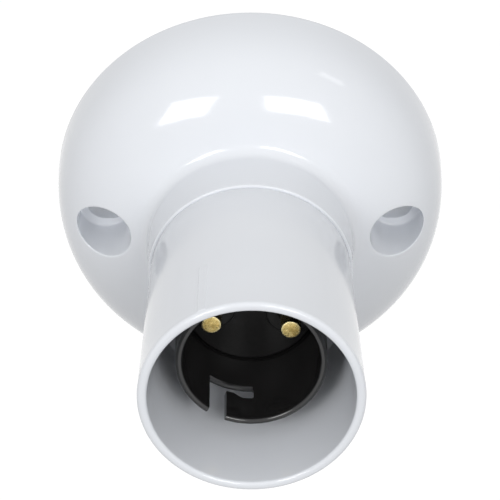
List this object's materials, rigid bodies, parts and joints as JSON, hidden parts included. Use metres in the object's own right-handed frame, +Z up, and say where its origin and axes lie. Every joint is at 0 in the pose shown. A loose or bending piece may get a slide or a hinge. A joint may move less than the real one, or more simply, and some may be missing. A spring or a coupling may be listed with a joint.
{
  "type": "batten lamp holder",
  "caption": "Wall or ceiling lamp holder: domed base with fixing wells, long screw-on skirt, and a bayonet barrel with sprung contacts and rear terminals.",
  "frame": {"origin": "centre of the back face of the base, in the plane of the wall or ceiling that it is fixed to", "axes": "+Y into the wall, so the lamp axis leaves along -Y; +X through the right-hand fixing well; +Z up"},
  "size_m": [0.0678, 0.0668, 0.0678],
  "materials": {
    "dome_base": "polished white urea moulding",
    "skirt": "polished white urea moulding",
    "bayonet_barrel": "satin black phenolic moulding",
    "contact_block": "satin black phenolic moulding",
    "plungers": "turned brass",
    "springs": "bright spring wire",
    "terminals": "drawn brass, sawn and drilled",
    "terminal_screws": "turned brass screw",
    "block_screws": "zinc-plated steel screw"
  },
  "bodies": {
    "holder": {"dome_base": "dome_base", "bayonet_barrel": "bayonet_barrel", "contact_block": "contact_block", "plunger_spring_left": "springs", "plunger_spring_right": "springs", "terminal_post_left": "terminals", "terminal_post_right": "terminals", "terminal_screw_left": "terminal_screws", "terminal_screw_right": "terminal_screws", "block_screw_upper": "block_screws", "block_screw_lower": "block_screws", "loop_terminal": "terminals", "loop_screw_left": "terminal_screws", "loop_screw_right": "terminal_screws", "earth_terminal": "terminals", "earth_screw": "terminal_screws"},
    "skirt": {"skirt": "skirt"},
    "plunger_left": {"plunger_left": "plungers"},
    "plunger_right": {"plunger_right": "plungers"}
  },
  "joints": [
    {"name": "skirt_unscrew", "type": "slide", "parent": "holder", "child": "skirt", "axis": [0, -1, 0], "range_m": [0, 0.03]},
    {"name": "plunger_left_press", "type": "slide", "parent": "holder", "child": "plunger_left", "axis": [0, 1, 0], "range_m": [0, 0.005], "stiffness_N_per_m": 800, "springref_m": -0.00375, "deforming": ["plunger_spring_left"]},
    {"name": "plunger_right_press", "type": "slide", "parent": "holder", "child": "plunger_right", "axis": [0, 1, 0], "range_m": [0, 0.005], "stiffness_N_per_m": 800, "springref_m": -0.00375, "deforming": ["plunger_spring_right"]}
  ]
}
